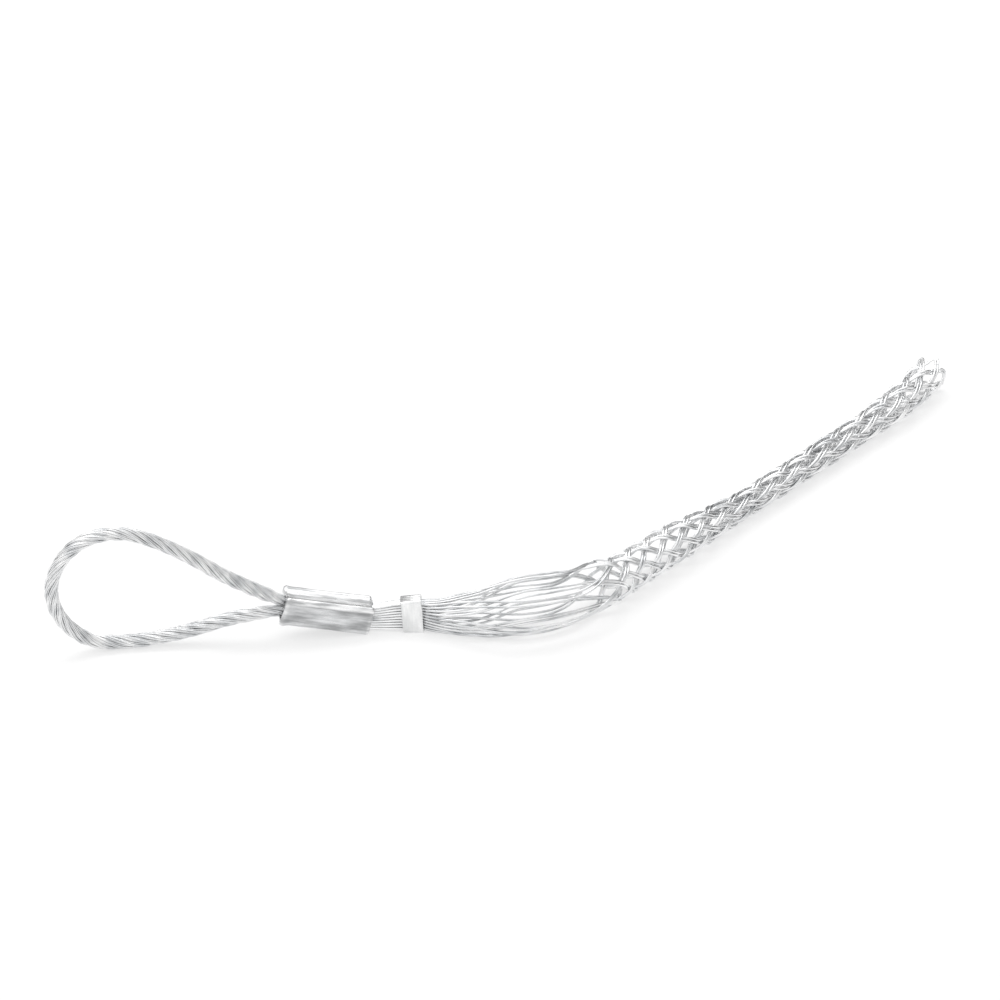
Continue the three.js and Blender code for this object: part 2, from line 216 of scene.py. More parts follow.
@dataclass
class Skin:
    """Vertices, faces and face-corner map of a piece, in millimetres."""

    points: list[Array] = field(default_factory=list)
    faces: list[list[int]] = field(default_factory=list)
    maps: list[list[float]] = field(default_factory=list)
    count: int = 0

    def add_rings(self, rings: Array, around: Array, along: Array) -> None:
        """Adds a closed skin through rings of points, with a face over each end.

        Args:
            rings: array of rings by corners by 3.
            around: distance round the ring to each corner, and to the first again.
            along: distance along the piece to each ring.
        """
        ring_count, corners, _ = rings.shape
        here = self.count + np.arange(ring_count * corners).reshape(ring_count, corners)
        beside = np.roll(here, -1, axis=1)
        quads = np.stack([here[:-1], beside[:-1], beside[1:], here[1:]], axis=-1)
        self.points.append(rings.reshape(-1, 3))
        self.faces += [*quads.reshape(-1, 4).tolist(), here[0, ::-1].tolist(), here[-1].tolist()]
        self.count += ring_count * corners
        place = np.stack(np.meshgrid(around, along), axis=-1)
        quads = np.stack([place[:-1, :-1], place[:-1, 1:], place[1:, 1:], place[1:, :-1]], axis=2)
        self.maps += [*quads.reshape(-1, 2).tolist(), *place[0, -2::-1].tolist(), *place[-1, :-1].tolist()]

    def add_wire(self, path: Array, radius: Number, sides: int) -> None:
        """Adds a round wire along a path.

        Args:
            path: the points of the wire's centre line.
            radius: the wire's radius, one for all or one for each point.
            sides: corners of its section.
        """
        normals = carried_normals(path)
        across = np.cross(tangents(path), normals)
        ring = turned(normals[:, None], across[:, None], 2 * math.pi * np.arange(sides) / sides)
        radii = np.broadcast_to(radius, len(path))[:, None, None]
        around = 2 * math.pi * float(np.mean(radius)) * np.arange(sides + 1) / sides
        self.add_rings(path[:, None] + ring * radii, around, run_length(path))

    def to_object(self, name: str, material: bpy.types.Material) -> bpy.types.Object:
        """Makes the Blender object.

        Args:
            name: the name of the piece.
            material: its finish.

        Returns:
            The object, smooth shaded, with a map in millimetres.
        """
        mesh = bpy.data.meshes.new(name)
        mesh.from_pydata((np.concatenate(self.points) * MM).tolist(), [], self.faces)
        layer = mesh.uv_layers.new(name=MAP_NAME)
        layer.data.foreach_set("uv", np.array(self.maps, np.float32).ravel())
        mesh.polygons.foreach_set("use_smooth", [True] * len(mesh.polygons))
        mesh.materials.append(material)
        mesh.validate()
        return placed(name, mesh)


def placed(name: str, data: bpy.types.ID) -> bpy.types.Object:
    """Stands a mesh, lamp or camera in the scene.

    Args:
        name: the object's name.
        data: the mesh, lamp or camera.

    Returns:
        The new object.
    """
    thing = bpy.data.objects.new(name, data)
    bpy.context.scene.collection.objects.link(thing)
    return thing


def paint(piece: bpy.types.Object, name: str, values: Array) -> None:
    """Gives each point of a piece a share from 0 to 1, which its finish reads by name."""
    layer = piece.data.attributes.new(name, "FLOAT", "POINT")
    layer.data.foreach_set("value", values.astype(np.float32).ravel())


def dress(piece: bpy.types.Object, slot: Slot, *nodes: str) -> None:
    """Puts a finished piece in the place of its CAD nodes.

    Args:
        piece: the finished piece.
        slot: a material slot; not used.
        nodes: the CAD nodes that it stands for.
    """
    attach(piece, "root")
    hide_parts(*nodes)
    LOG.info("%s: %d faces, stands for %s", piece.name, len(piece.data.polygons), ", ".join(nodes))


# Materials


def linear(hex_colour: str) -> tuple[float, ...]:
    """Turns an sRGB hex colour into a linear one with full alpha."""
    parts = [int(hex_colour[i:i + 2], 16) / 255 for i in (1, 3, 5)]
    return (*(c / 12.92 if c <= 0.04045 else ((c + 0.055) / 1.055) ** 2.4 for c in parts), 1.0)


def add_node(tree: Tree, kind: str, links: dict | None = None, **settings: object) -> bpy.types.Node:
    """Adds a node with its settings and links.

    Args:
        tree: the node tree of the material or the world.
        kind: the node's type.
        links: for each input, by name or number, an output socket to link or a value to set.
        settings: properties of the node.

    Returns:
        The new node.
    """
    node = tree.nodes.new(kind)
    for name, value in settings.items():
        setattr(node, name, value)
    for key, value in (links or {}).items():
        if isinstance(value, Socket):
            tree.links.new(value, node.inputs[key])
        else:
            node.inputs[key].default_value = value
    return node


def math_node(tree: Tree, operation: str, a: Socket, b: Socket | float) -> Socket:
    """Adds a sum, product or the like of two values."""
    return add_node(tree, "ShaderNodeMath", {0: a, 1: b}, operation=operation).outputs[0]


def grain(tree: Tree, size: tuple[float, float], detail: float, roughness: float) -> Socket:
    """Adds noise with grains of a size across and along the piece, in millimetres."""
    mapped = add_node(tree, "ShaderNodeMapping", {
        "Vector": add_node(tree, "ShaderNodeUVMap", uv_map=MAP_NAME).outputs["UV"],
        "Scale": (1 / size[0], 1 / size[1], 1)})
    return add_node(tree, "ShaderNodeTexNoise", {
        "Vector": mapped.outputs["Vector"], "Scale": 1.0, "Detail": detail,
        "Roughness": roughness}).outputs["Fac"]


def ramp(tree: Tree, share: Socket, *stops: tuple[float, str]) -> Socket:
    """Adds a colour ramp.

    Args:
        tree: the node tree.
        share: what the ramp is read by.
        stops: positions, each with a hex colour.

    Returns:
        The ramp's colour.
    """
    node = add_node(tree, "ShaderNodeValToRGB", {"Fac": share})
    elements = node.color_ramp.elements
    while len(elements) < len(stops):
        elements.new(1.0)
    for element, (position, colour) in zip(elements, stops):
        element.position = position
        element.color = linear(colour)
    return node.outputs["Color"]


def spread(tree: Tree, share: Socket, low: float, high: float, to_low: float, to_high: float) -> Socket:
    """Maps the range from low to high on the one from to_low to to_high."""
    return add_node(tree, "ShaderNodeMapRange", {
        "Value": share, "From Min": low, "From Max": high, "To Min": to_low,
        "To Max": to_high}).outputs["Result"]


def mixed(tree: Tree, share: Socket | float, a: Socket, b: Socket | tuple, blend: str = "MIX") -> Socket:
    """Lays colour b over colour a by a share."""
    return add_node(tree, "ShaderNodeMix", {"Factor": share, "A": a, "B": b},
                    data_type="RGBA", blend_type=blend).outputs[2]


def relief(tree: Tree, height: Socket, strength: float, depth: float, under: Socket | None = None) -> Socket:
    """Adds relief of a depth in millimetres, over another one if that is given."""
    links = {"Height": height, "Strength": strength, "Distance": depth * MM}
    return add_node(tree, "ShaderNodeBump", links | ({"Normal": under} if under else {})).outputs["Normal"]


@dataclass(frozen=True)
class Finish:
    """A material, of which each kind lays its own nodes."""

    name: str

    def lay(self, tree: Tree, shader: bpy.types.Node) -> None:
        """Lays the nodes of the finish.

        Args:
            tree: the material's node tree.
            shader: the plain shader that is in it.
        """
        raise NotImplementedError

    def material(self) -> bpy.types.Material:
        """Builds the material.

        Returns:
            The finished material.
        """
        material = bpy.data.materials.new(self.name)
        material.use_nodes = True
        self.lay(material.node_tree, material.node_tree.nodes["Principled BSDF"])
        return material


@dataclass(frozen=True)
class Metal(Finish):
    """A bare metal, of which each kind gives its own surface."""

    def surface(self, tree: Tree) -> tuple[Socket, Socket, Socket]:
        """Gives the colour, the roughness and the relief."""
        raise NotImplementedError

    def lay(self, tree: Tree, shader: bpy.types.Node) -> None:
        """Lays the surface on a shader that is all metal."""
        for name, socket in zip(("Base Color", "Roughness", "Normal"), self.surface(tree)):
            tree.links.new(socket, shader.inputs[name])
        shader.inputs["Metallic"].default_value = 1.0


@dataclass(frozen=True)
class DrawnWire(Metal):
    """Bright galvanised steel wire, drawn through a die after zinc coating.

    The zinc gives a pale grey with duller patches, the die leaves fine lines along the wire, and the free
    wires are darker in streaks where the wire's attribute for them says so.
    """

    name: str = "galvanised_drawn_wire"
    bright: str = "#FCFCFC"
    dull: str = "#E6E7E8"
    spent: str = "#A8AAAC"
    # Colour of the darker streaks
    darker_streaks: str = "#85878A"
    roughness_low: float = 0.2
    roughness_high: float = 0.38
    line_size: tuple[float, float] = (0.16, 9.0)
    patch_size: tuple[float, float] = (2.857, 14.0)
    line_strength: float = 0.5
    streak_strength: float = 0.4
    bump: float = 0.12
    bump_depth: float = 0.02

    def surface(self, tree: Tree) -> tuple[Socket, Socket, Socket]:
        """Lays the die lines, the zinc patches and the handled streaks over the wire."""
        # Die lines: fine across the wire, long along it, drawn a little coarser than real so that they show
        lines = grain(tree, self.line_size, 3.0, 0.6)
        # Zinc patches: the coating is duller here and there along the wire
        patches = grain(tree, self.patch_size, 4.0, 0.55)
        zinc = ramp(tree, patches, (0.32, self.spent), (0.45, self.dull), (0.6, self.bright))
        lined = ramp(tree, lines, (0.3, self.dull), (0.5, WHITE))
        colour = mixed(tree, self.line_strength, zinc, lined, "MULTIPLY")
        # The free wires between the sleeve and the braid are darker in streaks
        streaked_zone = add_node(tree, "ShaderNodeAttribute", attribute_name="darker_streaks").outputs["Fac"]
        streaks = spread(tree, lines, 0.36, 0.62, self.streak_strength, 0.0)
        colour = mixed(tree, math_node(tree, "MULTIPLY", streaked_zone, streaks), colour, linear(self.darker_streaks))
        gloss = spread(tree, lines, 0.3, 0.7, self.roughness_low, self.roughness_high)
        return colour, gloss, relief(tree, lines, self.bump, self.bump_depth)


@dataclass(frozen=True)
class RopeWire(DrawnWire):
    """Galvanised rope wire, stranded and laid under tension.

    The fine wires are evenly coated, so the rope keeps one pale grey with short, faint patches.
    """

    name: str = "galvanised_rope_wire"
    bright: str = "#F7F7F7"
    dull: str = "#E0E1E2"
    spent: str = "#C8CACC"
    roughness_high: float = 0.36
    line_size: tuple[float, float] = (0.1, 5.0)
    patch_size: tuple[float, float] = (2.857, 6.0)


@dataclass(frozen=True)
class PressedZinc(Metal):
    """Zinc-plated steel sleeve, pressed between dies.

    The press burnishes the ridges bright, draws dull clouds and scratches out along the channels, and pits
    the flats. The same bright colour is also painted on as a highlight on the top and front ridges and the
    top face.
    """

    name: str = "pressed_zinc_plated_steel"
    bright: str = "#DEDFE0"
    dull: str = "#A4A5A6"
    pit: str = "#8A8B8C"
    # Colour of the burnished ridges and of the painted highlight
    burnish_and_highlight_colour: str = "#FAFAFA"
    roughness_low: float = 0.22
    roughness_high: float = 0.46
    scratch_size: tuple[float, float] = (0.35, 16.0)
    cloud_size: tuple[float, float] = (2.6, 13.0)
    pit_size: tuple[float, float] = (0.45, 0.45)
    pit_strength: float = 0.35
    scratch_strength: float = 0.4
    groove_bump: float = 0.25
    groove_depth: float = 0.05
    pit_bump: float = 0.2
    pit_depth: float = 0.06

    def surface(self, tree: Tree) -> tuple[Socket, Socket, Socket]:
        """Lays clouds, burnished ridges, pits and scratches over the sleeve."""
        scratches = grain(tree, self.scratch_size, 6.0, 0.65)
        clouds = grain(tree, self.cloud_size, 4.0, 0.5)
        specks = grain(tree, self.pit_size, 2.0, 0.5)
        plating = ramp(tree, clouds, (0.34, self.dull), (0.64, self.bright))
        # Ridges that the die rubbed bright, plus a painted highlight on the top and front ridges and the top
        # face, least where the plating is dull
        ridge = add_node(tree, "ShaderNodeAttribute", attribute_name="burnish_and_painted_highlight").outputs["Fac"]
        rub_and_highlight = math_node(tree, "MULTIPLY", ridge, spread(tree, clouds, 0.4, 0.58, 0.2, 1.0))
        rubbed_and_highlit = mixed(tree, rub_and_highlight, plating, linear(self.burnish_and_highlight_colour))
        pitted = ramp(tree, specks, (0.24, self.pit), (0.36, WHITE))
        specked = mixed(tree, self.pit_strength, rubbed_and_highlit, pitted, "MULTIPLY")
        scratched = ramp(tree, scratches, (0.32, self.dull), (0.52, WHITE))
        colour = mixed(tree, self.scratch_strength, specked, scratched, "MULTIPLY")
        gloss = spread(tree, clouds, 0.3, 0.7, self.roughness_high, self.roughness_low)
        grooves = relief(tree, scratches, self.groove_bump, self.groove_depth)
        return colour, gloss, relief(tree, specks, self.pit_bump, self.pit_depth, grooves)


@dataclass(frozen=True)
class RolledStrip(PressedZinc):
    """Cold-rolled galvanised strip, bent by hand round the wires.

    Rolling gives it an even, bright face with faint lines along the strip and few pits.
    """

    name: str = "galvanised_rolled_strip"
    bright: str = "#F8F8F8"
    dull: str = "#DFE0E0"
    pit: str = "#C4C5C6"
    roughness_low: float = 0.3
    roughness_high: float = 0.42
    scratch_size: tuple[float, float] = (0.25, 22.0)
    cloud_size: tuple[float, float] = (5.0, 13.0)


@dataclass(frozen=True)
class StudioPaper(Finish):
    """White background paper, matt, with no pattern of its own."""

    name: str = "white_studio_paper"
    colour: str = "#FAFAFA"
    roughness: float = 0.9
    backlight: float = 0.6

    def lay(self, tree: Tree, shader: bpy.types.Node) -> None:
        """Lays the matt white of the floor."""
        shader.inputs["Base Color"].default_value = linear(self.colour)
        shader.inputs["Roughness"].default_value = self.roughness
        # The picture shows the paper lit from below too, which leaves only a faint shadow on it
        rays = add_node(tree, "ShaderNodeLightPath").outputs
        seen = rays["Is Camera Ray"]
        for kind in ("Is Glossy Ray", "Is Transmission Ray"):
            seen = math_node(tree, "MAXIMUM", seen, rays[kind])
        glow = add_node(tree, "ShaderNodeEmission", {"Color": linear(WHITE), "Strength": 1.0})
        lit = add_node(tree, "ShaderNodeMixShader", {
            0: math_node(tree, "MULTIPLY", seen, self.backlight), 1: shader.outputs["BSDF"],
            2: glow.outputs["Emission"]})
        tree.links.new(lit.outputs["Shader"], tree.nodes["Material Output"].inputs["Surface"])


# Where things lie


@dataclass
class Layout:
    """Frames of the sleeve, the band and the bag of wires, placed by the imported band."""

    wire_diameter: float = 0.9
    wire_gap: float = 0.22
    fit: float = 0.3
    rope_diameter: float = 5.0
    pressed: float = 0.83
    pocket_depth: float = 13.0
    sleeve_length: float = 30.6
    sleeve_height: float = 10.5
    sleeve_lift: float = 6.9
    eye_yaw: float = 8.5
    band_width: float = 8.0
    band_thickness: float = 0.45
    band_spacing: float = 10.5
    band_turn: float = -4.0
    slots_deep: int = 4
    slots_high: int = 10
    floor_gap: float = 0.1

    def __post_init__(self) -> None:
        """Works out the frames from the band's box."""
        self.wire_side = self.wire_diameter * math.sqrt(math.pi) / 2
        self.wire_pitch = self.wire_side + self.wire_gap
        self.leg_radius = self.rope_diameter * self.pressed / 2
        self.tight_pitch = self.wire_side + 0.1
        self.band_pitch = self.wire_pitch + 0.06
        self.band_half_wide = self.half_row(self.slots_deep, self.wire_pitch) + self.fit
        self.band_half_high = self.half_row(self.slots_high, self.band_pitch) + self.fit
        low, high = (np.array(corner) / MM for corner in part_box("band"))
        middle = (low + high) / 2
        self.band_end = np.array([middle[0] + self.band_width / 2,
                                  low[1] + self.band_half_wide + self.band_thickness, middle[2]])
        self.band_start = self.band_end - [self.band_width, 0, 0]
        self.floor = self.band_end[2] - self.band_half_high - self.band_thickness - self.floor_gap
        slope = math.asin(self.sleeve_lift / self.sleeve_length)
        yaw = math.radians(self.eye_yaw)
        turn = math.radians(self.band_turn)
        level = math.cos(slope)
        self.along = np.array([level * math.cos(yaw), level * math.sin(yaw), -math.sin(slope)])
        self.back = np.array([-math.sin(yaw), math.cos(yaw), 0.0])
        self.up = np.cross(self.along, self.back)
        end = self.band_start - self.band_spacing * np.array([math.cos(turn), math.sin(turn), 0.0])
        end[2] = self.floor + self.sleeve_height / 2 * level
        self.sleeve_mouth = end - self.along * self.sleeve_length
        self.eye_direction = np.array([-math.cos(yaw), -math.sin(yaw), 0.0])

    def half_row(self, wires: int, pitch: float) -> float:
        """Gives half the width of a row of wires."""
        return ((wires - 1) * pitch + self.wire_side) / 2

    def on_sleeve(self, x: Number, y: Number, z: Number) -> Array:
        """Gives the place of a point of the sleeve's own frame: along it, to the back, and up across it."""
        x, y, z = (np.asarray(value, float)[..., None] for value in (x, y, z))
        return self.sleeve_mouth + x * self.along + y * self.back + z * self.up

    def slot_offset(self, slot: int, pitch_high: float) -> tuple[float, float]:
        """Gives a wire's place in the bundle, counted round its rim from the top over the front.

        Args:
            slot: the number of the place.
            pitch_high: distance between two wires up the bundle.

        Returns:
            How far the wire lies to the front and up.
        """
        deep, high = self.slots_deep, self.slots_high
        rim = [(i, 0) for i in range(deep // 2, deep)]
        rim += [(deep - 1, j) for j in range(1, high)]
        rim += [(i, high - 1) for i in range(deep - 2, -1, -1)]
        rim += [(0, j) for j in range(high - 2, -1, -1)]
        rim += [(i, 0) for i in range(1, deep // 2)]
        i, j = rim[slot]
        return (i - (deep - 1) / 2) * self.wire_pitch, ((high - 1) / 2 - j) * pitch_high


# The rope eye


@dataclass
class RopeEye:
    """Six strands of seven wires round a core strand, bent into an eye and swaged at both ends."""

    layout: Layout
    finish: Metal
    rope_turns: float = 6.3
    strand_count: int = 6
    eye_length: float = 79.0
    eye_height: float = 46.0
    leg_gap: float = 0.06
    swelling: float = 7.0
    wires_round: int = 6
    wire_turns: float = -1.6
    phase_step: float = 0.3
    core_share: float = 0.94
    rings: int = 400
    sides: int = 8

    # Centre line of the eye as shares of its length and height
    SHAPE = [
        (0.25, 0.553), (0.4, 0.74), (0.545, 0.895), (0.67, 0.985), (0.775, 0.995), (0.875, 0.935),
        (0.955, 0.8), (0.997, 0.6), (0.985, 0.4), (0.925, 0.22), (0.83, 0.095), (0.715, 0.055),
        (0.59, 0.06), (0.47, 0.085), (0.355, 0.125), (0.235, 0.178),
    ]

    def __post_init__(self) -> None:
        """Lays the centre line and its frames."""
        layout = self.layout
        leg = layout.leg_radius + self.leg_gap
        # The legs lie side by side in the pocket and part a little at its mouth
        stations = [(layout.pocket_depth - layout.fit, leg), (5.0, leg), (-1.0, leg + 0.1)]
        upper = [layout.on_sleeve(x, 0, z) for x, z in stations]
        lower = [layout.on_sleeve(x, 0, -z) for x, z in reversed(stations)]
        eye = [self.eye_point(along, height) for along, height in self.SHAPE]
        self.centre = spread_evenly(centripetal(np.array([*upper, *eye, *lower])), self.rings)
        self.share = np.linspace(0, 1, self.rings)
        length = run_length(self.centre)[-1]
        from_end = np.minimum(self.share, 1 - self.share) * length
        self.press = lerp(layout.pressed, 1.0, smooth((from_end - layout.pocket_depth - 1) / self.swelling))
        # Right-hand lay
        self.turn = -2 * math.pi * self.rope_turns * self.share
        self.out = unit(np.cross(tangents(self.centre), layout.back))
        LOG.info("rope of the eye: %.1f mm long", length)

    def eye_point(self, along: float, height: float) -> Array:
        """Gives a point of the eye's centre line from its shares of the eye's length and height."""
        point = self.layout.sleeve_mouth + self.layout.eye_direction * along * self.eye_length
        return np.array([*point[:2], self.layout.floor + height * self.eye_height])

    def laid_strand(self, centre: Array, out: Array, strand_radius: float, phase: float) -> Skin:
        """Lays wires round one wire to make a strand.

        Args:
            centre: the strand's centre line.
            out: a direction across the strand at each point, from which the wires are counted.
            strand_radius: radius of the strand over its wires.
            phase: turn of the first wire at the start.

        Returns:
            The skin of the strand's seven wires.
        """
        wire = strand_radius / 3 * self.press
        along = tangents(centre)
        out = unit(out - along * np.sum(out * along, axis=1, keepdims=True))
        across = np.cross(along, out)
        skin = Skin()
        skin.add_wire(centre, wire, self.sides - 2)
        for number in range(self.wires_round):
            angle = phase + 2 * math.pi * (number / self.wires_round + self.wire_turns * self.share)
            skin.add_wire(centre + turned(out, across, angle) * (2 * wire)[:, None], wire, self.sides)
        return skin

    def build(self) -> None:
        """Builds the six strands and the core."""
        material = self.finish.material()
        strand_radius = self.layout.rope_diameter / 6
        for number in range(self.strand_count):
            out = turned(self.out, self.layout.back, self.turn + 2 * math.pi * number / self.strand_count)
            centre = self.centre + out * (2 * strand_radius * self.press)[:, None]
            strand = self.laid_strand(centre, out, strand_radius, self.phase_step * number)
            dress(strand.to_object(f"eye_strand_{number + 1}", material), Slot.STRAND,
                  f"rope_strand_{number + 1}")
        core = self.laid_strand(self.centre, self.out, strand_radius * self.core_share, 0.0)
        dress(core.to_object("eye_core", material), Slot.CORE, "rope_core")


# The pressed sleeve


@dataclass
class PressedSleeve:
    """Sleeve pressed on two rope legs and on all wire ends: four ridges, four channels, two open mouths."""

    layout: Layout
    finish: Metal
    width: float = 10.0
    channel: float = 0.55
    hole_room: float = 0.25
    wire_room: float = 0.2
    floor_growth: float = -1.2
    squareness: int = 9
    corner_cuts: int = 3
    wall_stations: int = 40
    unevenness: float = 0.06
    jut: float = 0.7
    rim_width: float = 1.5
    rim_burnish: float = 0.7

    def outline(self) -> Array:
        """Draws the section: a rounded ridge at each corner and a shallow channel on each side.

        Returns:
            Points to the back and up, once round.
        """
        a, b, c = self.width / 2, self.layout.sleeve_height / 2, self.channel
        quarter = np.array([(a - c, b * 0.52), (a, b * 0.68), (a, b * 0.86), (a * 0.86, b), (a * 0.68, b),
                            (a * 0.5, b - c)])
        upper = np.concatenate([quarter, (quarter * [-1, 1])[::-1]])
        ring = np.concatenate([upper, (upper * [1, -1])[::-1]])
        for _ in range(self.corner_cuts):
            following = np.roll(ring, -1, axis=0)
            cut = [lerp(ring, following, share) for share in (0.25, 0.75)]
            ring = np.stack(cut, axis=1).reshape(-1, 2)
        return ring

    def rope_hole(self, angle: Array, grow: float) -> Array:
        """Gives the hole round the two rope legs: its reach at each angle from the back to the top."""
        leg = self.layout.leg_radius
        return leg * np.abs(np.sin(angle)) + np.sqrt(np.clip(
            (leg + grow) ** 2 - (leg * np.cos(angle)) ** 2, 0.4, None))

    def wire_hole(self, angle: Array, grow: float) -> Array:
        """Gives the oblong hole round the wires in the same way.

        Args:
            angle: direction of each point, from the back towards the top.
            grow: how much wider than the bundle the hole is.

        Returns:
            The distance from the axis to the hole's edge.
        """
        layout, power = self.layout, self.squareness
        wide = layout.half_row(layout.slots_deep, layout.wire_pitch) + grow
        high = layout.half_row(layout.slots_high, layout.tight_pitch) + grow
        share = (np.abs(np.cos(angle)) / wide) ** power + (np.abs(np.sin(angle)) / high) ** power
        return share ** (-1 / power)

    def build(self) -> None:
        """Builds the sleeve as one closed skin, from one pocket's floor over the outside to the other's."""
        layout = self.layout
        length = layout.sleeve_length
        outline = self.outline()
        angle = np.arctan2(outline[:, 1], outline[:, 0])
        facing = turned(np.array([1.0, 0.0]), np.array([0.0, 1.0]), angle)
        rings: list[tuple[Array, Array]] = []

        def add_hole(hole: Callable[[Array, float], Array], *stations: tuple[float, float]) -> None:
            """Adds rings of a hole, each at a distance along the sleeve and with a growth."""
            for x, grow in stations:
                rings.append((np.full(len(outline), x), facing * hole(angle, grow)[:, None]))

        depth, end_depth = layout.pocket_depth, length - layout.pocket_depth
        add_hole(self.rope_hole, (depth, self.floor_growth), (depth, self.hole_room), (1.1, self.hole_room),
                 (0.45, 0.32), (0.12, 0.55), (0.02, 0.85))
        near = [0.0, 0.05, 0.12, 0.25, 0.5, 0.8, 1.2, 1.8, 2.6]
        middle = np.linspace(3.4, length - 3.2, self.wall_stations)
        far = length - np.array([2.4, 1.8, 1.3, 0.9, 0.5, 0.2, 0.08, 0.0])
        swell = [(0, 0.925), (0.16, 0.965), (0.8, 1.028), (2.6, 0.998), (length / 2, 0.99),
                 (length - 2.4, 1.0), (length - 0.9, 1.012), (length - 0.2, 0.985), (length, 0.955)]
        for x in [*near, *middle, *far]:
            wander = self.unevenness * (np.sin(1.7 * angle + 0.21 * x) + np.sin(3.1 * angle - 0.47 * x + 1.3)
                                        + 0.6 * np.sin(0.9 * x + 2 * angle))
            # The rim towards the rope juts out at its lower front corner, where the dies met
            corner = np.exp(-((angle + 2.45) / 0.45) ** 2) * math.exp(-(x / 1.5) ** 2)
            section = outline * eased(swell, x) + facing * (wander * 0.5 + 0.3 * corner)[:, None]
            rings.append((x - self.jut * corner, section))
        add_hole(self.wire_hole, (length - 0.02, 0.7), (length - 0.15, 0.4), (length - 0.5, self.wire_room),
                 (end_depth, self.wire_room), (end_depth, self.floor_growth))
        points = np.stack([layout.on_sleeve(x, yz[:, 0], yz[:, 1]) for x, yz in rings])
        skin = Skin()
        skin.add_rings(points, girth(outline), run_length(points[:, 0]))
        piece = skin.to_object("pressed_sleeve", self.finish.material())
        corner_share = np.minimum(np.abs(outline[:, 0]) / (self.width / 2),
                                  np.abs(outline[:, 1]) / (layout.sleeve_height / 2))
        # Ridges burnished by the dies, with a painted highlight: the top ridge at the front is the
        # brightest, the top face is painted bright too, and the ridges underneath stay dull
        above = lerp(0.12, 1.0, smooth(0.5 + outline[:, 1] / 4))
        painted_front_highlight = lerp(1.0, 0.15, smooth((outline[:, 0] - 1) / 3))
        painted_top_face_highlight = 0.7 * smooth((outline[:, 1] - 3.2) / 1.2)
        burnish_and_painted_highlight = np.maximum(smooth((corner_share - 0.56) / 0.2) * above, painted_top_face_highlight) * painted_front_highlight
        stations = np.array([x.mean() for x, _ in rings])
        from_rim = np.minimum(np.abs(stations), np.abs(length - stations))
        rim = self.rim_burnish * smooth((self.rim_width - from_rim) / 0.9)
        # The share read by the finish: burnished ridges and rims, plus the painted highlight on the top and
        # front
        paint(piece, "burnish_and_painted_highlight", np.maximum(burnish_and_painted_highlight, rim[:, None]))
        dress(piece, Slot.SLEEVE, "ferrule")


# The strip band


def rounded_corners(points: Array, radius: float, steps: int = 6) -> Array:
    """Rounds the corners of a polyline.

    Args:
        points: corners in the plane.
        radius: how far from each corner its bend starts.
        steps: points for each bend.

    Returns:
        The rounded polyline.
    """
    path = [points[0]]
    share = np.linspace(0, 1, steps)[:, None]
    for before, corner, after in zip(points, points[1:], points[2:]):
        start = corner + (before - corner) / np.linalg.norm(before - corner) * radius
        end = corner + (after - corner) / np.linalg.norm(after - corner) * radius
        path += list((1 - share) ** 2 * start + 2 * share * (1 - share) * corner + share**2 * end)
    path.append(points[-1])
    return np.array(path)


@dataclass
class StripBand:
    """Strip bent round the bundle of wires, its ends lapped at the back."""

    layout: Layout
    finish: Metal
    lean: float = 0.09
    lap: float = 0.3
    corner: float = 0.62
    edge: float = 0.12
    flare: float = 0.1
    dent: float = 0.025
    edge_wander: float = 0.07
    stations: int = 150

    def build(self) -> None:
        """Sweeps the strip's section round the bundle."""
        layout = self.layout
        half = layout.band_thickness / 2
        wide = layout.band_half_wide + half
        high = layout.band_half_high + half
        outside = wide + layout.band_thickness + self.lap
        route = np.array([(-wide, high * 0.15), (-wide, high), (wide, high), (wide, -high), (-wide, -high),
                          (-wide, -high * 0.72), (-outside, -high * 0.42), (-outside, high * 0.45)])
        dense = spread_evenly(rounded_corners(route, self.corner), self.stations)
        normal = tangents(dense)[:, ::-1] * [-1, 1]
        flat = (layout.band_width - 1) / 2
        outer = np.array([(half, flat - self.edge), (half, 0), (half, self.edge - flat),
                          (half - self.edge, -flat), (self.edge - half, -flat)])
        section = np.concatenate([outer, -outer])
        travel = run_length(dense)
        # The strip gives a little where it lies over the wires, and its edges aren't quite straight
        dent = self.dent * np.sin(travel * 2 * math.pi / layout.band_pitch)
        edge_wander = self.edge_wander * np.sin(travel * 0.55 + 0.8)
        rings = []
        for at, out, give, wander in zip(dense, normal, dent, edge_wander):
            front_up = at + np.outer(section[:, 0] + give, out)
            front, up = front_up.T
            along = section[:, 1] + wander - layout.band_width / 2 - self.lean * up
            flared = up + self.flare * (section[:, 1] + flat) * smooth((up + high) / (2 * high))
            rings.append(layout.band_end + np.stack([along, -front, flared], axis=1))
        skin = Skin()
        skin.add_rings(np.array(rings), girth(section), travel)
        dress(skin.to_object("strip_band", self.finish.material()), Slot.BAND, "band")


# The braid


@dataclass(frozen=True)
class Strand:
    """Half of a folded wire: one of a pair that runs round the braid.

    Args:
        pair: number of the pair among those that run the same way round.
        side: 1 or -1, which wire of the pair it is.
        hand: which way round it runs.
    """

    pair: int
    side: int
    hand: Hand

    def order(self) -> int:
        """Counts the strands round the bundle."""
        return 4 * self.pair + (0 if self.hand is Hand.RIGHT else 2) + min(self.side, 0)


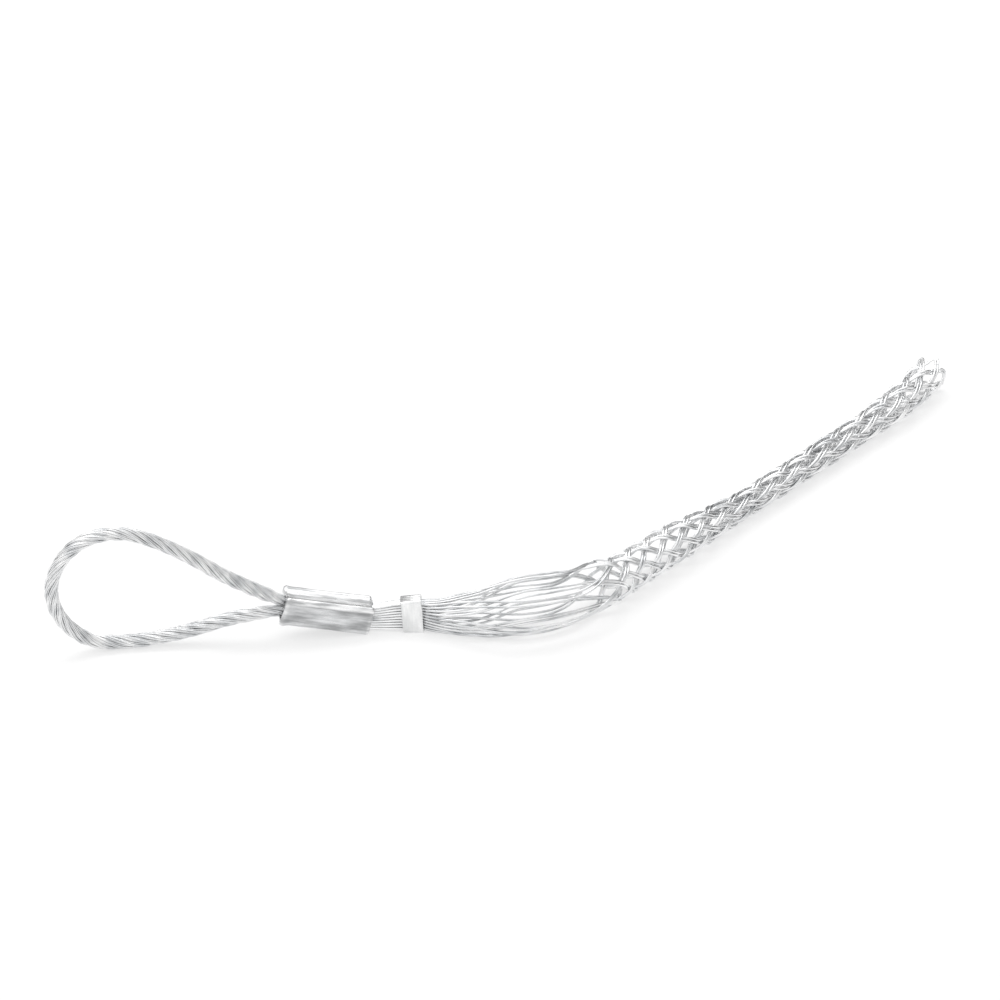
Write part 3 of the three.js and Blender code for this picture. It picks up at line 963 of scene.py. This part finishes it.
@dataclass
class WireBraid:
    """Twelve folded wires: bundle, bag and tubular braid of double wires, folded at the mouth."""

    layout: Layout
    finish: Metal
    pairs_per_hand: int = 6
    crossings: int = 30
    wave_height: float = 0.95
    fan_length: float = 59.2
    fan_shift: float = 13.6
    bag_radius: float = 10.6
    braid_length: float = 184.0
    collar_radius: float = 8.0
    start_radius: float = 6.2
    waist_radius: float = 3.85
    mouth_radius: float = 5.0
    braid_turn: float = 50.0
    swing: float = 0.465
    lift: float = 0.24
    sides: int = 10
    turn_step: float = 3.0
    opening: float = 0.5
    early_cross: float = 26.0
    fineness: float = 0.94
    wander: float = 2.6
    fold_height: float = 0.62
    fold_radius: float = 1.4
    fold_nesting: float = 0.87
    bag_steps: int = 64
    leave_pull: tuple[float, float, float] = (0.4, -0.12, 0.0)
    arrive_pull: float = 0.36
    drift_period: float = 58.0
    spread_period: float = 37.0
    spread_share: float = 0.13
    darker_streaks_from: float = 19.0
    darker_streaks_to: float = 96.0
    seed: int = 7

    def __post_init__(self) -> None:
        """Lays out the braid's axis and how fast the wires turn round it."""
        self.level_step = 180 / self.pairs_per_hand
        self.pair_step = 360 / self.pairs_per_hand
        self.tip_turn = self.level_step / 2 + self.level_step * self.crossings
        self.axis = self.lay_axis()
        self.turns = self.lay_turns()
        self.random = np.random.default_rng(self.seed)

    def theta(self, strand: Strand) -> float:
        """Gives where a strand's pair starts round the braid, in degrees from the top over the front."""
        return self.pair_step * (strand.pair + (0.0 if strand.hand is Hand.RIGHT else 0.5))

    def radius_at(self, share: Number) -> Number:
        """Gives the braid's mean radius at a share of its length."""
        near_mouth = lerp(self.waist_radius, self.mouth_radius, 0.75)
        return eased([(0, self.collar_radius), (0.07, self.start_radius), (0.18, self.start_radius * 0.97),
                      (0.44, self.waist_radius), (0.72, self.waist_radius), (0.91, near_mouth),
                      (1, self.mouth_radius)], share)

    def heading_at(self, share: Number) -> Number:
        """Gives the braid's heading on the table, in degrees, at a share of its length."""
        return self.braid_turn + eased([(0, 0), (0.2, -0.5), (0.8, 0.5), (1, 13)], share)

    def lay_axis(self) -> Array:
        """Walks the braid's axis over the table, one step a millimetre.

        Returns:
            The points of the axis, a little beyond the mouth.
        """
        count = round(self.braid_length)
        step = self.braid_length / count
        share = np.minimum((np.arange(count + 12) + 0.5) / count, 1)
        heading = np.radians(self.heading_at(share))
        moves = np.stack([np.cos(heading), np.sin(heading), np.zeros(len(heading))], axis=1) * step
        start = self.layout.band_end + [self.fan_length, self.fan_shift, 0]
        return start + np.concatenate([[[0, 0, 0]], np.cumsum(moves, axis=0)])

    def lay_turns(self) -> Array:
        """Lays down how fast the wires go round.

        Returns:
            The distance along the braid after each degree of turn.
        """
        lay = [(0, 1.5), (0.025, 0.85), (0.08, 0.78), (0.16, 0.84), (0.3, 0.98), (0.48, 1.18), (0.7, 1.24),
               (0.86, 1.08), (1, 0.93)]
        degrees = np.arange(1, int(self.tip_turn + self.level_step) + 1)
        steps = eased(lay, np.minimum(degrees / self.tip_turn, 1))
        table = np.concatenate([[0.0], np.cumsum(steps)])
        return table * self.braid_length / table[int(self.tip_turn)]

    def station_at(self, turn: Number) -> Number:
        """Gives the distance along the braid at a turn in degrees."""
        return np.interp(turn, np.arange(len(self.turns)), self.turns)

    def lay_at(self, turn: Number) -> Number:
        """Gives the length of one whole turn at the rate of a place."""
        return (self.station_at(turn + 1) - self.station_at(np.maximum(turn - 1, 0))) / 2 * 360

    def centre_at(self, s: Array) -> Array:
        """Gives the braid's axis, as high as the braid needs to lie on the table.

        Args:
            s: distances along the braid.

        Returns:
            A point for each distance.
        """
        count = len(self.axis)
        at = np.clip(s / self.braid_length * round(self.braid_length), 0, count - 1.001)
        centre = np.stack([np.interp(at, np.arange(count), self.axis[:, i]) for i in range(3)], axis=-1)
        clearance = self.lift + self.swing + self.layout.wire_diameter / 2 + 0.06
        centre[..., 2] = self.radius_at(np.minimum(s / self.braid_length, 1)) + clearance + self.layout.floor
        return centre

    def pair_angle(self, radius: Number, lay: Number) -> Number:
        """Gives half the angle between the two wires of a pair, in degrees."""
        lean = np.arctan2(2 * math.pi * radius, lay)
        return np.degrees((self.layout.wire_pitch - 0.06) / 2 / radius / np.cos(lean))

    def ring_points(self, centre: Array, heading: Number, radius: Number, theta: Array) -> Array:
        """Places points round an axis, by its heading and a turn from the top over the front, in degrees."""
        out = turned(np.array([0.0, 0.0, 1.0]), front_of(heading), np.radians(theta))
        return centre + out * np.asarray(radius)[..., None]

    def bundle_points(self, slot: int) -> Array:
        """Gives a wire's corners from the sleeve's pocket through the band.

        Args:
            slot: the wire's place in the bundle.

        Returns:
            Six points.
        """
        layout = self.layout
        front_in, up_in = layout.slot_offset(slot, layout.tight_pitch)
        front_band, up_band = layout.slot_offset(slot, layout.band_pitch)
        length = layout.sleeve_length
        stations = (length - layout.pocket_depth + layout.fit, length - 1.0, length + 0.9)
        sleeve = [layout.on_sleeve(x, -front_in, up_in) for x in stations]
        across = np.array([0, -front_band, up_band])
        return np.array([*sleeve, *(layout.band_start + [x, 0, 0] + across for x in (-0.8, 2.0)),
                         layout.band_end + across])

    def bag_points(self, strand: Strand, slot: int) -> Array:
        """Gives a strand's path from the band to the braid, where the wires bulge into an open bag.

        Args:
            strand: the strand.
            slot: its place in the band.

        Returns:
            The points of the path.
        """
        layout = self.layout
        front_band, up_band = layout.slot_offset(slot, layout.band_pitch)
        start, goal = layout.band_end, self.centre_at(np.array(0.0))
        heading = math.radians(self.heading_at(0.0))
        reach = float(np.linalg.norm(goal - start))
        leave = start + np.array(self.leave_pull) * reach
        arrive = goal - np.array([math.cos(heading), math.sin(heading), 0]) * reach * self.arrive_pull
        t = np.linspace(0, 1, self.bag_steps)[1:, None]
        left = 1 - t
        axis = left**3 * start + 3 * t * left**2 * leave + 3 * t**2 * left * arrive + t**3 * goal
        slope = left**2 * (leave - start) + 2 * t * left * (arrive - leave) + t**2 * (goal - arrive)
        t = t[:, 0]
        headings = np.degrees(np.arctan2(slope[:, 1], slope[:, 0]))
        radius = eased([(0, self.bag_radius * 0.6), (0.2, self.bag_radius * 0.82), (0.52, self.bag_radius),
                        (1, self.collar_radius + self.lift)], t)
        lifted = self.wave_height * smooth((t - 0.6) / 0.4) + 0.05
        high = radius + layout.wire_side / 2 + lifted + layout.floor
        opened = 1 - (1 - np.minimum(t / self.opening, 1)) ** 2
        axis[:, 2] = lerp(start[2], high, opened)
        end_half = float(self.pair_angle(self.radius_at(0.0), self.lay_at(1.0)))
        half = lerp(self.level_step / 4, end_half, smooth(t / 0.8))
        # No two wires spring out quite alike
        loose = np.sin(math.pi * t) ** 2
        wander = self.random.normal(0, 1, 3)
        radius = radius - loose * (0.35 + 0.3 * abs(wander[0])) * (1 + 0.5 * np.sin(5 * t + wander[1]))
        turn = self.theta(strand) + strand.side * half
        turn = turn + loose * (1.6 * wander[2] + 1.2 * np.sin(7 * t + 3 * wander[1]))
        # In the bag the pairs cross once, and from there they turn into the weave in one sweep
        away = self.early_cross * smooth((t - 0.12) / 0.4) * (1 - np.clip((t - 0.66) / 0.34, 0, 1) ** 3)
        turn = turn - strand.hand.value * away
        radius = radius - strand.hand.value * self.swing * np.sin(math.pi * away / self.level_step)
        flat = axis + front_of(headings) * front_band + np.array([0, 0, up_band])
        return lerp(flat, self.ring_points(axis, headings, radius, turn), opened[:, None])

    def braid_points(self, strand: Strand, last_turn: float) -> Array:
        """Gives a strand's path in the braid: over at one crossing and under at the next.

        Args:
            strand: the strand.
            last_turn: the turn at which its fold starts.

        Returns:
            The points of the path.
        """
        theta, side, hand = self.theta(strand), strand.side, strand.hand
        turn = np.linspace(0, last_turn, int(last_turn / self.turn_step))
        s = self.station_at(turn)
        share = np.minimum(s / self.braid_length, 1)
        # No pair keeps quite to its place: it drifts round a little, and opens and closes
        drift_phase = 1.9 * theta / self.pair_step + 0.8 * hand.value
        held_share = smooth(share / 0.15) * smooth((1 - share) / 0.12)
        drift = self.wander * np.sin(2 * math.pi * s / self.drift_period + drift_phase) * held_share
        swing = np.sin(2 * math.pi * s / self.spread_period + 2.3 * drift_phase)
        spread = 1 + self.spread_share * swing * held_share
        half = self.pair_angle(self.radius_at(share), self.lay_at(turn)) * spread
        phase = turn + side * hand.value * half / 2
        wave = np.cos(math.pi * (phase - self.level_step / 2) / self.level_step)
        wave = wave * (1.5 - 0.5 * wave**2)
        last_crossing = self.tip_turn - self.level_step
        held = -(1 - 0.6 * smooth((phase - last_crossing) / self.level_step))
        wave = np.where(phase > last_crossing, held, wave)
        radius = self.radius_at(share) + self.lift + self.swing * hand.value * wave
        return self.ring_points(self.centre_at(s), self.heading_at(share), radius,
                                theta + drift + side * half + hand.value * turn)

    def half_wire(self, strand: Strand, middle: float, bend: float, reach: float) -> Array:
        """Gives half of a folded wire, from the sleeve to the tip of its fold.

        Args:
            strand: which half of which wire it is.
            middle: where the fold's tip lies round the mouth, in degrees.
            bend: radius of the fold, in millimetres.
            reach: how far the fold is drawn out beyond a plain arc.

        Returns:
            The points of the path.
        """
        hand = strand.hand
        slot = strand.order() % (4 * self.pairs_per_hand)
        lay = float(self.lay_at(self.tip_turn))
        lean = math.atan2(2 * math.pi * self.mouth_radius, lay)
        half = float(self.pair_angle(self.mouth_radius, lay))
        meet_turn = self.tip_turn - strand.side * hand.value * half
        meet = float(self.station_at(meet_turn))
        off = math.degrees(bend * math.cos(lean) / self.mouth_radius)
        bundle = centripetal(self.bundle_points(slot), 12)
        bag = self.bag_points(strand, slot)
        braid = self.braid_points(strand, meet_turn - off)
        # Rounded end: an arc on the unrolled mouth, drawn out towards its tip
        share = np.linspace(0, 1, 12)[1:]
        angle = lerp(lean, math.pi / 2, share)
        s = meet - bend / math.sin(lean) + bend * np.sin(angle) + reach * smooth(share)
        away = np.degrees(bend * np.cos(angle) / self.mouth_radius)
        at_start = self.mouth_radius + self.lift - 0.45 * self.swing * hand.value
        radius = lerp(at_start, self.mouth_radius + self.fold_height, smooth(share))
        fold = self.ring_points(self.centre_at(s), self.heading_at(1.0), radius, middle - hand.value * away)
        path = np.concatenate([bundle, bag, braid[1:], fold])
        weights = np.zeros(len(path))
        first, joint = len(bundle), len(bundle) + len(bag)
        weights[first:joint] = smooth(np.arange(len(bag)) / 5)
        weights[joint:joint + 6] = np.linspace(1, 0, 6)
        weights[3:first - 10] = 0.6
        path = relaxed(path, weights, 14)
        # The bag's wires lean into the weave over a few millimetres, without a corner
        weights[:] = 0
        weights[joint - 20:joint + 5] = np.concatenate([smooth(np.arange(20) / 16), np.linspace(1, 0.1, 5)])
        return relaxed(path, weights, 12)

    def folded_wire(self, number: int) -> Array:
        """Gives a whole wire: down the braid one way round, folded at the mouth, and back the other way.

        Args:
            number: number of the wire; an even one has the inner fold of its pair.

        Returns:
            The points of the path.
        """
        pair, outer = divmod(number, 2)
        partner = (pair + self.crossings) % self.pairs_per_hand
        middle = self.pair_step * pair + self.tip_turn
        bend = self.fold_radius + (self.layout.wire_pitch * self.fold_nesting if outer else 0)
        reach = 0.7 * (1 + math.cos(pair * 2.2))
        side = -1 if outer else 1
        out = self.half_wire(Strand(pair, side, Hand.RIGHT), middle, bend, reach)
        back = self.half_wire(Strand(partner, -side, Hand.LEFT), middle, bend, reach)
        return np.concatenate([out, back[-2::-1]])

    def build(self) -> None:
        """Builds the twelve wires."""
        material = self.finish.material()
        for number in range(2 * self.pairs_per_hand):
            skin = Skin()
            path = self.folded_wire(number)
            skin.add_wire(path, self.layout.wire_diameter / 2 * self.fineness, self.sides)
            piece = skin.to_object(f"braid_wire_{number + 1:02d}", material)
            # Where the free wires are darker in streaks, from the sleeve to the braid
            along = run_length(path)
            from_end = np.minimum(along, along[-1] - along)
            darker_streaks = smooth((from_end - self.darker_streaks_from) / 8) * smooth((self.darker_streaks_to - from_end) / 20)
            paint(piece, "darker_streaks", np.repeat(darker_streaks, self.sides))
            dress(piece, Slot.WIRE, f"wire_{number + 1:02d}")


# Studio


@dataclass
class Studio:
    """White paper floor, pale surroundings, soft lamps and the camera of the photograph."""

    bright_side: tuple[float, float, float] = (-0.2, -0.62, 0.75)
    room_light: float = 1.02
    elevation: float = 32.0
    lens: float = 1200.0
    sensor: float = 36.0
    view_width: float = 0.3401
    target: tuple[float, float, float] = (0.0005, -0.0116, 0.015)
    floor_size: float = 6.0

    def add_floor(self) -> None:
        """Lays the paper under the object."""
        half = self.floor_size / 2
        mesh = bpy.data.meshes.new("paper_floor")
        corners = [(-half, -half, 0), (half, -half, 0), (half, half, 0), (-half, half, 0)]
        mesh.from_pydata(corners, [], [range(4)])
        mesh.materials.append(StudioPaper().material())
        floor = placed("paper_floor", mesh)

    def add_world(self) -> None:
        """Sets a pale room, brightest above the camera and darkest low behind the object."""
        world = bpy.data.worlds.new("pale_room")
        bpy.context.scene.world = world
        world.use_nodes = True
        tree = world.node_tree
        background = tree.nodes["Background"]
        direction = add_node(tree, "ShaderNodeTexCoord").outputs["Generated"]
        towards = add_node(tree, "ShaderNodeVectorMath", {0: direction, 1: self.bright_side},
                           operation="DOT_PRODUCT").outputs["Value"]
        shades = ramp(tree, spread(tree, towards, -1.0, 1.0, 0.0, 1.0),
                      (0.0, "#303030"), (0.44, "#707070"), (0.62, "#DADADA"), (0.78, WHITE))
        tree.links.new(shades, background.inputs["Color"])
        background.inputs["Strength"].default_value = self.room_light

    def aim(self, stand: bpy.types.Object, place: Vector) -> None:
        """Stands a lamp or the camera in its place, facing the object."""
        stand.location = place
        stand.rotation_euler = (Vector(self.target) - place).to_track_quat("-Z", "Y").to_euler()

    def add_lamp(self, name: str, place: tuple[float, float, float], size: tuple[float, float],
                 power: float) -> None:
        """Hangs a soft lamp that faces the object.

        Args:
            name: the lamp's name.
            place: where it hangs, in metres.
            size: width and height of its face, in metres.
            power: its power in watts.
        """
        lamp = bpy.data.lights.new(name, "AREA")
        lamp.shape = "RECTANGLE"
        lamp.size, lamp.size_y = size
        lamp.energy = power
        self.aim(placed(name, lamp), Vector(place))

    def add_camera(self) -> None:
        """Sets the camera at the photograph's angle, with a long lens."""
        camera = bpy.data.cameras.new("camera")
        camera.lens = self.lens
        camera.sensor_width = self.sensor
        camera.clip_end = 100.0
        distance = self.view_width / self.sensor * self.lens
        rise = math.radians(self.elevation)
        stand = placed("camera", camera)
        self.aim(stand, Vector(self.target) + Vector((0, -math.cos(rise), math.sin(rise))) * distance)
        bpy.context.scene.camera = stand

    def build(self) -> None:
        """Builds the floor, the surroundings, the lamps and the camera."""
        self.add_camera()
        self.add_floor()
        self.add_world()
        self.add_lamp("back_softbox", (-0.15, 0.55, 1.1), (1.8, 0.7), 9.0)
        self.add_lamp("right_softbox", (0.36, 1.6, 0.83), (0.8, 0.5), 1.8)
        self.add_lamp("left_softbox", (-1.0, -0.1, 0.8), (0.6, 0.8), 1.2)
        bpy.context.scene.view_settings.view_transform = "Standard"


def main() -> None:
    """Builds the grip and its studio in order."""
    logging.basicConfig(level=logging.INFO, format="%(name)s: %(message)s")
    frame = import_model()
    LOG.info("%d CAD nodes to dress", len(frame["nodes"]))
    layout = Layout()
    Studio().build()
    RopeEye(layout, RopeWire()).build()
    PressedSleeve(layout, PressedZinc()).build()
    StripBand(layout, RolledStrip()).build()
    WireBraid(layout, DrawnWire()).build()


if __name__ == "__main__":
    main()
